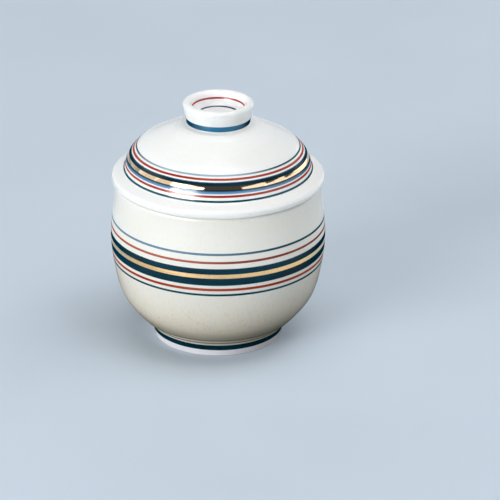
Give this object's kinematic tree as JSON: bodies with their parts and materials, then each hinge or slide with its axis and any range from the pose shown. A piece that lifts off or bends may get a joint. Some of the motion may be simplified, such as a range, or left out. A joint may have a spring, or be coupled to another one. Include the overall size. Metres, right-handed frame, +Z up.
{
  "type": "lidded rice bowl",
  "caption": "Round porcelain bowl on a turned foot ring with a loose domed lid, a hollow ring knob and painted blue, red and gilt bands.",
  "frame": {"origin": "centre of the circle that the foot ring stands on", "axes": "+Z up along the axis the bowl and lid are turned about; X and Y are equal, because the bowl is round"},
  "size_m": [0.087, 0.087, 0.1002],
  "materials": {
    "glaze": "glossy ivory-white glaze",
    "underglaze_navy": "deep blue bands under the glaze",
    "iron_red": "thin red enamel lines",
    "gilt": "fired gold lustre"
  },
  "bodies": {
    "bowl": {"bowl": "glaze"},
    "lid": {"lid": "glaze"}
  },
  "joints": [
    {"name": "lid_lift", "type": "slide", "parent": "bowl", "child": "lid", "axis": [0, 0, 1], "range_m": [0, 0.035]}
  ]
}
